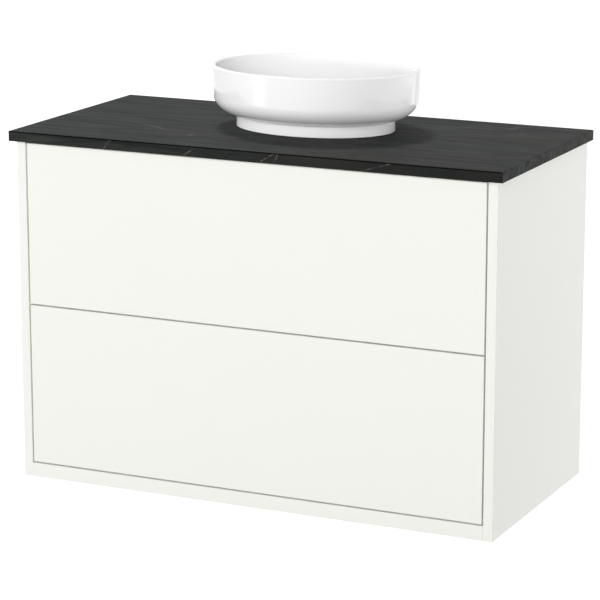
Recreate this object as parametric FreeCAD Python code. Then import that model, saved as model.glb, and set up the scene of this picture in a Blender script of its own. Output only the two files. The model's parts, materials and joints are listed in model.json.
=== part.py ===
"""Wall-hung vanity unit: a two-drawer cabinet, a dark countertop and an oval counter-top basin.

Frame: +X to the right as seen from the front, +Y towards the wall, +Z up, in millimetres.
Origin: on the wall plane, midway between the two hanging holes.
"""

import FreeCAD, Part
import math
import os

Vec = FreeCAD.Vector
UP = Vec(0, 0, 1)
DOWN = Vec(0, 0, -1)
TO_WALL = Vec(0, 1, 0)
TO_ROOM = Vec(0, -1, 0)
SIDES = {"left": -1, "right": 1}

# Shared clearances
CUT_OVERRUN = 5.0
RUNNING_GAP = 0.4
CONTACT_GAP = 0.3
HOLE_FIT = 0.1
PLANE_TOLERANCE = 1e-4

# Cabinet
CABINET_WIDTH = 996.0
CABINET_DEPTH = 480.0
CABINET_HEIGHT = 675.0
SIDE_THICKNESS = 19.0
BOTTOM_THICKNESS = 16.0
BOTTOM_RAIL_HEIGHT = 28.0
BOTTOM_RAIL_DEPTH = 19.0
TOP_RAIL_DEPTH = 80.0
TOP_RAIL_THICKNESS = 18.0
TOP_RAIL_SETBACK = 4.0
BACK_RAIL_HEIGHT = 90.0
BACK_RAIL_THICKNESS = 16.0
BOARD_ROUND = 1.0

# Wall brackets
BRACKET_HEIGHT = 60.0
BRACKET_WALL_LEG = 50.0
BRACKET_SIDE_LEG = 42.0
BRACKET_THICKNESS = 3.0
WALL_HOLE_DIAMETER = 10.0
BRACKET_SCREW_SPACING = 36.0

# Countertop
TOP_OVERHANG_SIDE = 12.0
TOP_OVERHANG_FRONT = 10.0
TOP_THICKNESS = 20.0
TOP_ARRIS_ROUND = 1.5
TOP_LOWER_ROUND = 0.8
TOP_WASTE_HOLE_DIAMETER = 70.0

# Basin
BASIN_LENGTH = 420.0
BASIN_WIDTH = 330.0
BASIN_HEIGHT = 121.0
BASIN_OFFSET_X = 12.0
BASIN_FRONT_DISTANCE = 285.0
BASIN_RIM_WIDTH = 9.0
BASIN_RIM_ROUND = 4.0
BASIN_WALL_TAPER = 3.0
BASIN_WALL_FOOT_HEIGHT = 62.0
BASIN_FOOT_INSET = 49.0
BASIN_FOOT_HEIGHT = 21.0
BASIN_FOOT_FLARE = 1.0
BASIN_FOOT_WALL = 14.0
BASIN_FLOOR_HEIGHT = 18.0
BASIN_FLOOR_THICKNESS = 10.0
BASIN_FLOOR_RISE = 9.0
BASIN_INNER_FLOOR_INSET = 74.0
BASIN_INNER_WALL_FOOT_HEIGHT = 66.0
BASIN_TURN_SHARES = (0.0, 0.2, 0.4, 0.6, 0.8, 1.0)
BASIN_TURN_START_DEGREES = 24.0
SEALANT_THICKNESS = 1.0
SEALANT_WIDTH = 6.0

# Waste and its plug
WASTE_NECK_DIAMETER = 42.0
WASTE_BORE_DIAMETER = 36.0
WASTE_FLANGE_DIAMETER = 64.0
WASTE_FLANGE_THICKNESS = 2.5
WASTE_SEAT_DEPTH = 2.5
WASTE_SEAT_MARGIN = 1.5
WASTE_HOLE_MARGIN = 2.0
WASTE_NECK_BELOW_TOP = 25.0
WASTE_SEAL_THICKNESS = 1.5
WASTE_LOWER_SEAL_THICKNESS = 3.0
WASTE_LOWER_SEAL_DIAMETER = 62.0
WASTE_NUT_DIAMETER = 58.0
WASTE_NUT_HEIGHT = 10.0
WASTE_BRIDGE_DROP = 16.0
WASTE_BRIDGE_HEIGHT = 12.0
WASTE_BRIDGE_WIDTH = 5.0
WASTE_SLEEVE_DIAMETER = 16.0
PLUG_DIAMETER = 60.0
PLUG_EDGE_HEIGHT = 2.5
PLUG_CROWN = 3.5
PLUG_STEM_DIAMETER = 10.0
PLUG_STEM_LENGTH = 34.0

# Trap
PIPE_DIAMETER = 32.0
PIPE_WALL = 2.0
PIPE_BEND_RADIUS = 35.0
OUTLET_BEND_RADIUS = 28.0
PIPE_INSERTION = 16.0
INLET_DROP = 6.0
SLIP_NUT_DIAMETER = 52.0
SLIP_NUT_HEIGHT = 22.0
SLIP_NUT_SKIRT = 14.0
SLIP_NUT_RIBS = 10
SLIP_NUT_RIB_DIAMETER = 3.0
TRAP_BODY_DIAMETER = 56.0
TRAP_BODY_HEIGHT = 90.0
TRAP_WALL = 3.0
TRAP_COLLAR_HEIGHT = 14.0
TRAP_NOZZLE_REACH = 46.0
TRAP_NOZZLE_DROP = 30.0
TRAP_ABOVE_BODY = 14.0
DIP_CLEARANCE = 24.0
CAP_HEIGHT = 24.0
CAP_WALL = 3.0
CAP_GRIP_WIDTH = 8.0
CAP_GRIP_DEPTH = 10.0

# Drawers
PLUMBING_DEPTH = 112.0
FRONT_THICKNESS = 18.0
FRONT_GAP = 3.0
DRAWER_SIDE_THICKNESS = 14.0
DRAWER_BACK_THICKNESS = 14.0
DRAWER_BOTTOM_THICKNESS = 8.0
DRAWER_GROOVE_DEPTH = 5.0
DRAWER_GROOVE_RAISE = 12.0
DRAWER_SIDE_RAISE = 18.0
UPPER_SIDE_HEIGHT = 170.0
LOWER_SIDE_HEIGHT = 220.0
DRAWER_ANGLE_LEG = 26.0
DRAWER_ANGLE_HEIGHT = 44.0
DRAWER_ANGLE_THICKNESS = 2.0
DRAWER_ANGLE_MARGIN = 16.0

# Telescopic runners
RUNNER_SPACE = 13.0
RUNNER_HEIGHT = 45.0
RUNNER_SHEET = 1.2
RUNNER_LIP = 5.0
RUNNER_RAISE = 62.0
RUNNER_SETBACK = 2.0
RUNNER_SCREW_INSET = 40.0

# Push latches
LATCH_WIDTH = 12.0
LATCH_HEIGHT = 14.0
LATCH_LENGTH = 62.0
LATCH_RAISE = 112.0
LATCH_SETBACK = 5.0
PLUNGER_DIAMETER = 5.0
PLUNGER_LENGTH = 38.0
PLUNGER_STROKE = 2.5
PLUNGER_TIP_LENGTH = 2.0

# Fasteners
SCREW_DIAMETER = 4.0
SCREW_HEAD_DIAMETER = 8.0
SCREW_HEAD_HEIGHT = 2.2
SCREW_BITE = 12.0
DRIVE_WIDTH = 1.0
DRIVE_SPAN = 4.0
DRIVE_DEPTH = 1.0
COUNTERTOP_SCREW_BITE = 13.0
COUNTERTOP_SCREW_SHARES = (-0.7, 0.7)
BACK_SCREW_SHARES = (0.15, 0.85)
CAM_DIAMETER = 15.0
CAM_DISTANCE = 34.0
CAM_HEIGHT_SHARE = 0.75
CAM_BOLT_DIAMETER = 6.0
CAM_BOLT_HEAD_DIAMETER = 7.0
CAM_BOLT_HEAD_LENGTH = 3.0
DOWEL_DIAMETER = 8.0
DOWEL_LENGTH = 30.0
SIDE_SEAT_SHARE = 0.6
JOINT_SPACING = 40.0

# Levels and places worked out from the sizes above
TOP_Z = BRACKET_HEIGHT / 2 + TOP_RAIL_THICKNESS
UNDERSIDE_Z = TOP_Z - CABINET_HEIGHT
COUNTER_Z = TOP_Z + TOP_THICKNESS
BOTTOM_TOP_Z = UNDERSIDE_Z + BOTTOM_RAIL_HEIGHT
OUTER_HALF = CABINET_WIDTH / 2
INNER_HALF = OUTER_HALF - SIDE_THICKNESS
FRONT_Y = -CABINET_DEPTH
FRONT_BACK_Y = FRONT_Y + FRONT_THICKNESS
DRAWER_REAR_Y = -PLUMBING_DEPTH
FRONT_HALF = INNER_HALF - FRONT_GAP
FRONT_HEIGHT = (CABINET_HEIGHT - BOTTOM_RAIL_HEIGHT - 3 * FRONT_GAP) / 2
DRAWER_HALF = INNER_HALF - RUNNER_SPACE
DRAWER_INNER_HALF = DRAWER_HALF - DRAWER_SIDE_THICKNESS
LOWER_FRONT_Z = BOTTOM_TOP_Z + FRONT_GAP
UPPER_FRONT_Z = LOWER_FRONT_Z + FRONT_HEIGHT + FRONT_GAP
DRAWERS = {
    "upper": (UPPER_FRONT_Z, UPPER_SIDE_HEIGHT),
    "lower": (LOWER_FRONT_Z, LOWER_SIDE_HEIGHT),
}
BASIN_X = BASIN_OFFSET_X
BASIN_Y = FRONT_Y - TOP_OVERHANG_FRONT + BASIN_FRONT_DISTANCE
BASIN_Z = COUNTER_Z + SEALANT_THICKNESS
TRAP_Y = -PLUMBING_DEPTH / 2
LOWER_BRACKET_Z = BOTTOM_TOP_Z + BACK_RAIL_HEIGHT + BRACKET_HEIGHT / 2
WALL_HOLE_HALF = INNER_HALF - (BRACKET_THICKNESS + BRACKET_WALL_LEG) / 2
SEAT_Z = BASIN_Z + BASIN_FLOOR_HEIGHT - WASTE_SEAT_DEPTH
FLANGE_Z = SEAT_Z + WASTE_SEAL_THICKNESS
FLANGE_TOP_Z = FLANGE_Z + WASTE_FLANGE_THICKNESS
NECK_END_Z = TOP_Z - WASTE_NECK_BELOW_TOP
FLOOR_UNDER_Z = BASIN_Z + BASIN_FLOOR_HEIGHT - BASIN_FLOOR_THICKNESS
NUT_LIP = SLIP_NUT_HEIGHT - SLIP_NUT_SKIRT
RUN_Z = NECK_END_Z - NUT_LIP - INLET_DROP - PIPE_BEND_RADIUS
TRAP_TOP_Z = RUN_Z - PIPE_BEND_RADIUS - TRAP_ABOVE_BODY - TRAP_COLLAR_HEIGHT
TRAP_BOTTOM_Z = TRAP_TOP_Z - TRAP_BODY_HEIGHT
NOZZLE_Z = TRAP_TOP_Z - TRAP_NOZZLE_DROP

pieces = {}


def box(x_range, y_range, z_range):
    """Block between the given pairs of X, Y and Z limits, in either order."""
    low = Vec(min(x_range), min(y_range), min(z_range))
    high = Vec(max(x_range), max(y_range), max(z_range))
    return Part.makeBox(high.x - low.x, high.y - low.y, high.z - low.z, low)


def rod(diameter, start, direction, length):
    """Round bar from a start point along a direction."""
    return Part.makeCylinder(diameter / 2, length, start, direction)


def tube(outer, inner, start, direction, length):
    """Round bar with a bore right through it."""
    bore_start = start - direction * CUT_OVERRUN
    bore = rod(inner, bore_start, direction, length + 2 * CUT_OVERRUN)
    return rod(outer, start, direction, length).cut(bore)


def add(name, *shapes):
    """Keeps a named piece: one solid, or a group of separate like solids."""
    pieces[name] = shapes[0] if len(shapes) == 1 else Part.makeCompound(list(shapes))


def drill(names, cutters):
    """Cuts the same set of holes in each of the named pieces."""
    for name in names:
        pieces[name] = pieces[name].cut(tuple(cutters))


def edges_on_plane(shape, axis, value):
    """Edges of a shape that lie in the plane axis = value."""
    def lies_in(edge):
        limits = edge.BoundBox
        low = getattr(limits, axis + "Min")
        high = getattr(limits, axis + "Max")
        return max(abs(low - value), abs(high - value)) < PLANE_TOLERANCE
    return [edge for edge in shape.Edges if lies_in(edge)]


def rounded_front(shape, y):
    """Board with the edges of its front face eased."""
    return shape.makeFillet(BOARD_ROUND, edges_on_plane(shape, "Y", y))


def screw(seat, direction, bite, head_height=SCREW_HEAD_HEIGHT):
    """Wood screw whose head's underside sits at seat and whose shank runs along direction."""
    shank = rod(SCREW_DIAMETER, seat, direction, bite)
    top = seat - direction * head_height
    head = rod(SCREW_HEAD_DIAMETER, top, direction, head_height)
    across = Vec(direction.y, direction.z, direction.x)
    other = direction.cross(across)
    solid = head.fuse(shank)
    for one, two in ((across, other), (other, across)):
        half = one * (DRIVE_SPAN / 2) + two * (DRIVE_WIDTH / 2)
        corner = top - half - direction * CUT_OVERRUN
        far = top + half + direction * min(DRIVE_DEPTH, head_height / 2)
        solid = solid.cut(box((corner.x, far.x), (corner.y, far.y), (corner.z, far.z)))
    return solid


def screw_hole(seat, direction, bite, head_height=0.0):
    """Hole for a screw's shank, and for its head where the head is let in."""
    hole = rod(SCREW_DIAMETER + HOLE_FIT, seat - direction * CUT_OVERRUN, direction, bite + CUT_OVERRUN)
    if head_height:
        head = rod(SCREW_HEAD_DIAMETER + HOLE_FIT, seat - direction * head_height, direction, head_height)
        hole = hole.fuse(head)
    return hole


def make_carcass():
    """Two sides, the bottom with its front rail, two flat top rails and a back rail."""
    for word, side in SIDES.items():
        panel = box(
            (side * INNER_HALF, side * OUTER_HALF), (FRONT_Y, 0), (UNDERSIDE_Z, TOP_Z)
        )
        add(f"{word}_side_panel", rounded_front(panel, FRONT_Y))
    across = (-INNER_HALF, INNER_HALF)
    rail_back = FRONT_Y + BOTTOM_RAIL_DEPTH
    rail = box(across, (FRONT_Y, rail_back), (UNDERSIDE_Z, BOTTOM_TOP_Z))
    add("bottom_front_rail", rounded_front(rail, FRONT_Y))
    bottom = box(across, (rail_back, 0), (BOTTOM_TOP_Z - BOTTOM_THICKNESS, BOTTOM_TOP_Z))
    add("bottom_panel", bottom)
    front_rail_y = FRONT_BACK_Y + TOP_RAIL_SETBACK
    rail_heights = (TOP_Z - TOP_RAIL_THICKNESS, TOP_Z)
    add("front_top_rail", box(across, (front_rail_y, front_rail_y + TOP_RAIL_DEPTH), rail_heights))
    add("rear_top_rail", box(across, (-TOP_RAIL_DEPTH, 0), rail_heights))
    back_heights = (BOTTOM_TOP_Z, BOTTOM_TOP_Z + BACK_RAIL_HEIGHT)
    add("back_rail", box(across, (-BACK_RAIL_THICKNESS, 0), back_heights))


def carcass_joints():
    """Places of the knock-down joints: board, Y, Z, the pocket's side and the board's thickness."""
    rail_z = TOP_Z - TOP_RAIL_THICKNESS / 2
    bottom_z = BOTTOM_TOP_Z - BOTTOM_THICKNESS / 2
    front_rail_y = FRONT_BACK_Y + TOP_RAIL_SETBACK + TOP_RAIL_DEPTH / 2
    bottom_middle = (FRONT_Y + BOTTOM_RAIL_DEPTH) / 2
    bottom_reach = -bottom_middle / 2
    return [
        ("front_top_rail", Vec(0, front_rail_y, rail_z), TO_WALL, DOWN, TOP_RAIL_THICKNESS),
        ("rear_top_rail", Vec(0, -TOP_RAIL_DEPTH / 2, rail_z), TO_WALL, DOWN, TOP_RAIL_THICKNESS),
        ("bottom_panel", Vec(0, bottom_middle - bottom_reach, bottom_z), TO_WALL, DOWN, BOTTOM_THICKNESS),
        ("bottom_panel", Vec(0, bottom_middle + bottom_reach, bottom_z), TO_WALL, DOWN, BOTTOM_THICKNESS),
        (
            "back_rail",
            Vec(0, -BACK_RAIL_THICKNESS / 2, BOTTOM_TOP_Z + BACK_RAIL_HEIGHT / 2),
            UP,
            TO_ROOM,
            BACK_RAIL_THICKNESS,
        ),
    ]


def cam_disc(middle, inward, pocket, height, thickness):
    """Cam disc let into a board's face, with its cross recess and the mouth for the bolt's head."""
    face = middle + pocket * (thickness / 2)
    disc = rod(CAM_DIAMETER - HOLE_FIT, face - pocket * height, pocket, height)
    mouth_start = middle - inward * CAM_DIAMETER
    mouth = rod(CAM_BOLT_HEAD_DIAMETER + HOLE_FIT, mouth_start, inward, CAM_DIAMETER + CAM_BOLT_HEAD_LENGTH)
    recess_along = inward * (DRIVE_SPAN / 2)
    recess_across = inward.cross(pocket) * (DRIVE_SPAN / 2)
    slot_half = DRIVE_WIDTH / DRIVE_SPAN
    for one, two in ((recess_along, recess_across), (recess_across, recess_along)):
        reach = one + two * slot_half
        low = face - reach - pocket * DRIVE_DEPTH
        high = face + reach + pocket * CUT_OVERRUN
        disc = disc.cut(box((low.x, high.x), (low.y, high.y), (low.z, high.z)))
    return disc.cut(mouth)


def make_carcass_joints():
    """Cam, cam bolt and dowel at each end of every cross board, with the holes they sit in."""
    discs, bolts, dowels = [], [], []
    seat = SIDE_THICKNESS * SIDE_SEAT_SHARE
    for board, place, spread, pocket, thickness in carcass_joints():
        height = thickness * CAM_HEIGHT_SHARE
        for word, side in SIDES.items():
            inward = Vec(-side, 0, 0)
            bolt_end = place + spread * (JOINT_SPACING / 2) + Vec(side * INNER_HALF, 0, 0)
            dowel_end = place - spread * (JOINT_SPACING / 2) + Vec(side * INNER_HALF, 0, 0)
            middle = bolt_end + inward * CAM_DISTANCE
            face = middle + pocket * (thickness / 2)
            discs.append(cam_disc(middle, inward, pocket, height, thickness))
            shank = rod(CAM_BOLT_DIAMETER, bolt_end - inward * seat, inward, seat + CAM_DISTANCE)
            head = rod(CAM_BOLT_HEAD_DIAMETER, middle, inward, CAM_BOLT_HEAD_LENGTH)
            bolts.append(shank.fuse(head))
            dowel_side = min(DOWEL_LENGTH / 2, seat)
            dowel_start = dowel_end - inward * dowel_side
            dowels.append(rod(DOWEL_DIAMETER, dowel_start, inward, dowel_side + DOWEL_LENGTH / 2))
            pocket_hole = rod(CAM_DIAMETER, face - pocket * height, pocket, height + CUT_OVERRUN)
            bolt_hole = rod(
                CAM_BOLT_HEAD_DIAMETER + HOLE_FIT, bolt_end, inward, CAM_DISTANCE
            )
            bolt_seat = rod(CAM_BOLT_DIAMETER + HOLE_FIT, bolt_end - inward * seat, inward, seat)
            dowel_hole = rod(
                DOWEL_DIAMETER + HOLE_FIT, dowel_start, inward, dowel_side + DOWEL_LENGTH / 2
            )
            drill([board], [pocket_hole, bolt_hole, dowel_hole])
            drill([f"{word}_side_panel"], [bolt_seat, dowel_hole])
    add("cam_discs", *discs)
    add("cam_bolts", *bolts)
    add("dowels", *dowels)


def make_wall_brackets():
    """Four steel angles at the rear corners, each with one wall hole and two screws into the side."""
    brackets, screws = [], []
    for word, side in SIDES.items():
        inward = Vec(-side, 0, 0)
        for middle in (0, LOWER_BRACKET_Z):
            heights = (middle - BRACKET_HEIGHT / 2, middle + BRACKET_HEIGHT / 2)
            wall_leg = box(
                (side * INNER_HALF, side * (INNER_HALF - BRACKET_WALL_LEG)),
                (-BRACKET_THICKNESS, 0),
                heights,
            )
            side_leg = box(
                (side * INNER_HALF, side * (INNER_HALF - BRACKET_THICKNESS)),
                (-BRACKET_SIDE_LEG, 0),
                heights,
            )
            hole_x = side * WALL_HOLE_HALF
            wall_hole = rod(
                WALL_HOLE_DIAMETER,
                Vec(hole_x, -BRACKET_THICKNESS - CUT_OVERRUN, middle),
                TO_WALL,
                BRACKET_THICKNESS + 2 * CUT_OVERRUN,
            )
            bracket = wall_leg.fuse(side_leg).removeSplitter().cut(wall_hole)
            screw_y = -(BRACKET_THICKNESS + BRACKET_SIDE_LEG) / 2
            for step in (-1, 1):
                z = middle + step * BRACKET_SCREW_SPACING / 2
                seat = Vec(side * (INNER_HALF - BRACKET_THICKNESS), screw_y, z)
                screws.append(screw(seat, -inward, SCREW_BITE))
                hole = screw_hole(seat, -inward, SCREW_BITE)
                bracket = bracket.cut(hole)
                drill([f"{word}_side_panel"], [hole])
            brackets.append(bracket)
    add("wall_brackets", *brackets)
    add("bracket_screws", *screws)


def make_countertop():
    """Laminate-faced board over the cabinet, flush with the wall, screwed from under the rails."""
    half = OUTER_HALF + TOP_OVERHANG_SIDE
    front = FRONT_Y - TOP_OVERHANG_FRONT
    top = box((-half, half), (front, 0), (TOP_Z, COUNTER_Z))
    top = top.makeFillet(TOP_ARRIS_ROUND, edges_on_plane(top, "Z", COUNTER_Z))
    top = top.makeFillet(TOP_LOWER_ROUND, edges_on_plane(top, "Z", TOP_Z))
    hole = rod(
        TOP_WASTE_HOLE_DIAMETER,
        Vec(BASIN_X, BASIN_Y, TOP_Z - CUT_OVERRUN),
        UP,
        TOP_THICKNESS + 2 * CUT_OVERRUN,
    )
    add("countertop", top.cut(hole))
    screws = []
    rail_y = (FRONT_BACK_Y + TOP_RAIL_SETBACK + TOP_RAIL_DEPTH / 2, -TOP_RAIL_DEPTH / 2)
    for board, y in zip(("front_top_rail", "rear_top_rail"), rail_y):
        for share in COUNTERTOP_SCREW_SHARES:
            seat = Vec(share * INNER_HALF, y, TOP_Z - TOP_RAIL_THICKNESS)
            bite = TOP_RAIL_THICKNESS + COUNTERTOP_SCREW_BITE
            screws.append(screw(seat, UP, bite))
            drill([board, "countertop"], [screw_hole(seat, UP, bite)])
    add("countertop_screws", *screws)


def oval(length, width, z):
    """Closed oval wire about the basin's axis, its long axis along X."""
    centre = Vec(BASIN_X, BASIN_Y, z)
    if math.isclose(length, width):
        curve = Part.Circle(centre, UP, length / 2)
    else:
        curve = Part.Ellipse(
            centre + Vec(length / 2, 0, 0), centre + Vec(0, width / 2, 0), centre
        )
    return Part.Wire([curve.toShape()])


def inset_oval(inset, z):
    """The rim's oval drawn in by the same distance all round."""
    return oval(BASIN_LENGTH - 2 * inset, BASIN_WIDTH - 2 * inset, z)


def turned_sections(inner_inset, outer_inset, low_z, high_z, shares):
    """Ovals along a quarter turn that leaves the foot at a slope and ends upright in the wall."""
    start = math.radians(BASIN_TURN_START_DEGREES)
    sections = []
    for share in shares:
        angle = start + share * (math.pi / 2 - start)
        across = (math.sin(angle) - math.sin(start)) / (1 - math.sin(start))
        rise = 1 - math.cos(angle) / math.cos(start)
        inset = inner_inset + (outer_inset - inner_inset) * across
        sections.append(inset_oval(inset, low_z + (high_z - low_z) * rise))
    return sections


def basin_outside():
    """The bowl's outer form: a rounded underside that turns up into a slightly flared wall."""
    sections = turned_sections(
        BASIN_FOOT_INSET,
        BASIN_WALL_TAPER,
        BASIN_Z + BASIN_FOOT_HEIGHT,
        BASIN_Z + BASIN_WALL_FOOT_HEIGHT,
        BASIN_TURN_SHARES,
    )
    underside = Part.makeLoft(sections, True, False)
    wall = Part.makeLoft([sections[-1], inset_oval(0, BASIN_Z + BASIN_HEIGHT)], True, True)
    foot_length = BASIN_LENGTH - 2 * BASIN_FOOT_INSET
    foot_width = BASIN_WIDTH - 2 * BASIN_FOOT_INSET
    foot = Part.makeLoft(
        [
            oval(foot_length + 2 * BASIN_FOOT_FLARE, foot_width + 2 * BASIN_FOOT_FLARE, BASIN_Z),
            oval(foot_length, foot_width, BASIN_Z + BASIN_FOOT_HEIGHT),
        ],
        True,
        True,
    )
    return underside.fuse((wall, foot))


def basin_hollow():
    """The bowl's inside: an upright wall above a dished floor that falls to the waste."""
    wall_inset = BASIN_RIM_WIDTH + BASIN_WALL_TAPER
    rim = inset_oval(BASIN_RIM_WIDTH, BASIN_Z + BASIN_HEIGHT)
    sections = turned_sections(
        BASIN_INNER_FLOOR_INSET,
        wall_inset,
        BASIN_Z + BASIN_FLOOR_HEIGHT + BASIN_FLOOR_RISE,
        BASIN_Z + BASIN_INNER_WALL_FOOT_HEIGHT,
        BASIN_TURN_SHARES,
    )
    turn = Part.makeLoft(sections, True, False)
    wall = Part.makeLoft([sections[-1], rim], True, True)
    seat = WASTE_FLANGE_DIAMETER + 2 * WASTE_SEAT_MARGIN
    seat_oval = oval(seat, seat, BASIN_Z + BASIN_FLOOR_HEIGHT)
    floor = Part.makeLoft([seat_oval, sections[0]], True, True)
    return turn.fuse((wall, floor))


def make_basin():
    """Oval ceramic bowl on a drawn-in foot, with its waste hole and seat, on a bead of sealant."""
    basin = basin_outside().cut(basin_hollow())
    pocket_inset = BASIN_FOOT_INSET + BASIN_FOOT_WALL
    pocket = Part.makeLoft(
        [inset_oval(pocket_inset, BASIN_Z - CUT_OVERRUN), inset_oval(pocket_inset, FLOOR_UNDER_Z)],
        True,
        True,
    )
    axis_foot = Vec(BASIN_X, BASIN_Y, BASIN_Z)
    seat = rod(
        WASTE_FLANGE_DIAMETER + 2 * WASTE_SEAT_MARGIN,
        axis_foot + UP * (BASIN_FLOOR_HEIGHT - WASTE_SEAT_DEPTH),
        UP,
        WASTE_SEAT_DEPTH + CUT_OVERRUN,
    )
    hole = rod(WASTE_NECK_DIAMETER + 2 * WASTE_HOLE_MARGIN, axis_foot, UP, BASIN_HEIGHT)
    basin = basin.cut((pocket, seat, hole)).removeSplitter()
    rim_edges = edges_on_plane(basin, "Z", BASIN_Z + BASIN_HEIGHT)
    add("basin", basin.makeFillet(BASIN_RIM_ROUND, rim_edges))
    bead_outer = BASIN_FOOT_INSET + BASIN_FOOT_WALL / 2 - SEALANT_WIDTH / 2
    bead = Part.makeLoft(
        [inset_oval(bead_outer, COUNTER_Z), inset_oval(bead_outer, BASIN_Z)], True, True
    )
    bead_inner = bead_outer + SEALANT_WIDTH
    bead_hole = Part.makeLoft(
        [
            inset_oval(bead_inner, COUNTER_Z - CUT_OVERRUN),
            inset_oval(bead_inner, BASIN_Z + CUT_OVERRUN),
        ],
        True,
        True,
    )
    add("basin_sealant", bead.cut(bead_hole))


def on_waste_axis(z):
    """Point on the waste's axis at a level."""
    return Vec(BASIN_X, BASIN_Y, z)


def make_waste():
    """Waste body clamped through the basin's floor by two seals and a nut, with its lift-up plug."""
    neck_length = FLANGE_TOP_Z - NECK_END_Z
    body = rod(WASTE_NECK_DIAMETER, on_waste_axis(NECK_END_Z), UP, neck_length)
    flange = rod(WASTE_FLANGE_DIAMETER, on_waste_axis(FLANGE_Z), UP, WASTE_FLANGE_THICKNESS)
    bore_start = on_waste_axis(NECK_END_Z - CUT_OVERRUN)
    bore = rod(WASTE_BORE_DIAMETER, bore_start, UP, neck_length + 2 * CUT_OVERRUN)
    bridge_low = FLANGE_TOP_Z - WASTE_BRIDGE_DROP - WASTE_BRIDGE_HEIGHT
    bridge_heights = (bridge_low, bridge_low + WASTE_BRIDGE_HEIGHT)
    reach = WASTE_BORE_DIAMETER / 2
    half = WASTE_BRIDGE_WIDTH / 2
    bridge = box((BASIN_X - reach, BASIN_X + reach), (BASIN_Y - half, BASIN_Y + half), bridge_heights)
    sleeve = rod(WASTE_SLEEVE_DIAMETER, on_waste_axis(bridge_low), UP, WASTE_BRIDGE_HEIGHT)
    stem_hole = rod(
        PLUG_STEM_DIAMETER + 2 * RUNNING_GAP,
        on_waste_axis(bridge_low - CUT_OVERRUN),
        UP,
        WASTE_BRIDGE_HEIGHT + 2 * CUT_OVERRUN,
    )
    shell = body.fuse(flange).cut(bore)
    add("waste_body", shell.fuse((bridge, sleeve)).cut(stem_hole).removeSplitter())
    seal_bore = WASTE_NECK_DIAMETER + 2 * HOLE_FIT
    add(
        "waste_upper_seal",
        tube(WASTE_FLANGE_DIAMETER, seal_bore, on_waste_axis(SEAT_Z), UP, WASTE_SEAL_THICKNESS),
    )
    lower_seal_z = FLOOR_UNDER_Z - WASTE_LOWER_SEAL_THICKNESS
    add(
        "waste_lower_seal",
        tube(
            WASTE_LOWER_SEAL_DIAMETER,
            seal_bore,
            on_waste_axis(lower_seal_z),
            UP,
            WASTE_LOWER_SEAL_THICKNESS,
        ),
    )
    nut_z = lower_seal_z - WASTE_NUT_HEIGHT
    add("waste_nut", tube(WASTE_NUT_DIAMETER, seal_bore, on_waste_axis(nut_z), UP, WASTE_NUT_HEIGHT))


def make_plug():
    """Domed plug on a stem that slides in the waste body's sleeve."""
    edge_z = FLANGE_TOP_Z + CONTACT_GAP
    edge = rod(PLUG_DIAMETER, on_waste_axis(edge_z), UP, PLUG_EDGE_HEIGHT)
    crown_z = edge_z + PLUG_EDGE_HEIGHT
    rise = PLUG_CROWN
    radius = ((PLUG_DIAMETER / 2) ** 2 + rise**2) / (2 * rise)
    ball = Part.makeSphere(radius, on_waste_axis(crown_z + rise - radius))
    cap_column = rod(PLUG_DIAMETER, on_waste_axis(crown_z), UP, rise + CUT_OVERRUN)
    stem = rod(PLUG_STEM_DIAMETER, on_waste_axis(edge_z - PLUG_STEM_LENGTH), UP, PLUG_STEM_LENGTH)
    add("waste_plug", edge.fuse((ball.common(cap_column), stem)).removeSplitter())


def bent_pipe(points, radii, overrun=0.0, diameter=PIPE_DIAMETER):
    """Round bar along straight runs joined by tangent arcs; radii has one value for each corner."""
    first = (points[1] - points[0]).normalize()
    last = (points[-1] - points[-2]).normalize()
    path = [points[0] - first * overrun, *points[1:-1], points[-1] + last * overrun]
    edges = []
    start = path[0]
    for corner, after, radius in zip(path[1:-1], path[2:], radii):
        towards = (start - corner).normalize()
        onwards = (after - corner).normalize()
        turn = math.pi - towards.getAngle(onwards)
        setback = radius * math.tan(turn / 2)
        arc_start = corner + towards * setback
        arc_end = corner + onwards * setback
        bisector = (towards + onwards).normalize()
        centre = corner + bisector * (radius / math.cos(turn / 2))
        arc_middle = centre - bisector * radius
        edges.append(Part.LineSegment(start, arc_start).toShape())
        edges.append(Part.Arc(arc_start, arc_middle, arc_end).toShape())
        start = arc_end
    edges.append(Part.LineSegment(start, path[-1]).toShape())
    wire = Part.Wire(edges)
    ring = Part.Wire([Part.Circle(path[0], first, diameter / 2).toShape()])
    return wire.makePipeShell([ring], True, False)


def hollow_pipe(points, radii):
    """Bent pipe with its bore."""
    bore = bent_pipe(points, radii, CUT_OVERRUN, PIPE_DIAMETER - 2 * PIPE_WALL)
    return bent_pipe(points, radii).cut(bore)


def slip_nut(mouth, direction):
    """Ribbed union nut over a threaded end; direction points from the skirt to the pipe."""
    start = mouth - direction * SLIP_NUT_SKIRT
    nut = rod(SLIP_NUT_DIAMETER, start, direction, SLIP_NUT_HEIGHT)
    skirt = rod(
        WASTE_NECK_DIAMETER + 2 * HOLE_FIT,
        start - direction * CUT_OVERRUN,
        direction,
        SLIP_NUT_SKIRT + CUT_OVERRUN,
    )
    hole = rod(PIPE_DIAMETER + 2 * HOLE_FIT, start, direction, SLIP_NUT_HEIGHT + CUT_OVERRUN)
    across = Vec(direction.y, direction.z, direction.x)
    grooves = []
    for index in range(SLIP_NUT_RIBS):
        turn = FreeCAD.Rotation(direction, 360.0 * index / SLIP_NUT_RIBS)
        place = start + turn.multVec(across) * (SLIP_NUT_DIAMETER / 2)
        grooves.append(
            rod(
                SLIP_NUT_RIB_DIAMETER,
                place - direction * CUT_OVERRUN,
                direction,
                SLIP_NUT_HEIGHT + 2 * CUT_OVERRUN,
            )
        )
    return nut.cut((skirt, hole, *grooves))


def on_trap_axis(z):
    """Point on the trap's axis at a level."""
    return Vec(BASIN_X, TRAP_Y, z)


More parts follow.
